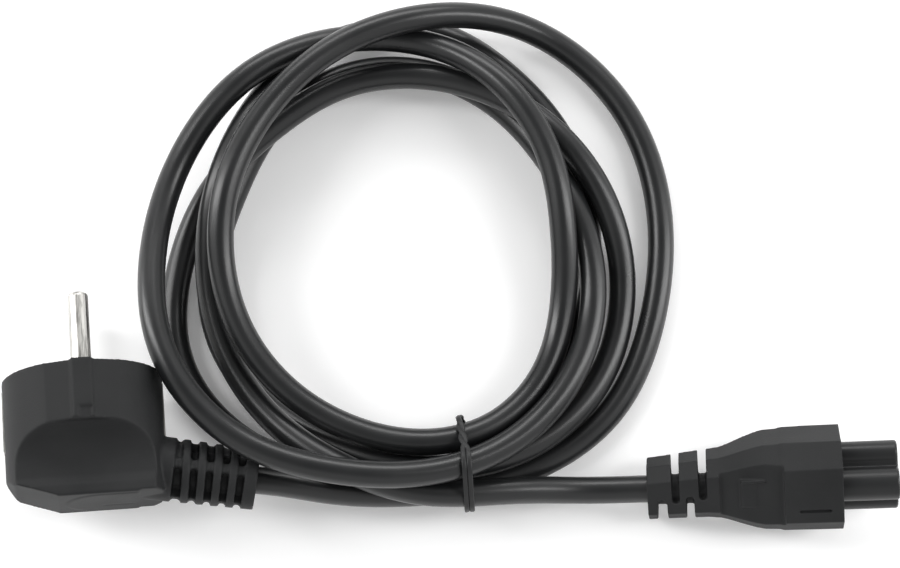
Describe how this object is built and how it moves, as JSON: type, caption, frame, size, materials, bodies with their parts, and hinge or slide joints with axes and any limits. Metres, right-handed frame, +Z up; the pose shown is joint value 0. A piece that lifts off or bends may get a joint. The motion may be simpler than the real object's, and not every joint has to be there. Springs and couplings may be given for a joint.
{
  "type": "power cord",
  "caption": "Coiled mains lead with an angled round plug at one end and a three-lobe appliance connector at the other, held by a twist tie.",
  "frame": {"origin": "on the surface that the lead lies on, under the middle of the box round the plug and the connector", "axes": "+X from the plug to the connector, +Y towards the far side of the coil, +Z up"},
  "size_m": [0.216, 0.1314, 0.0405],
  "materials": {
    "moulding": "matte",
    "insert": "satin",
    "plating": "bright",
    "sleeve": "satin",
    "sheath": "satin",
    "tie": "satin"
  },
  "bodies": {
    "root": {"plug_body": "moulding", "plug_pin_upper": "plating", "plug_pin_lower": "plating", "earth_contact_left": "plating", "earth_contact_right": "plating", "connector_body": "moulding", "connector_nose": "insert", "contact_sleeve_line": "sleeve", "contact_sleeve_neutral": "sleeve", "contact_sleeve_earth": "sleeve", "cord": "sheath", "twist_tie": "tie"}
  },
  "joints": []
}
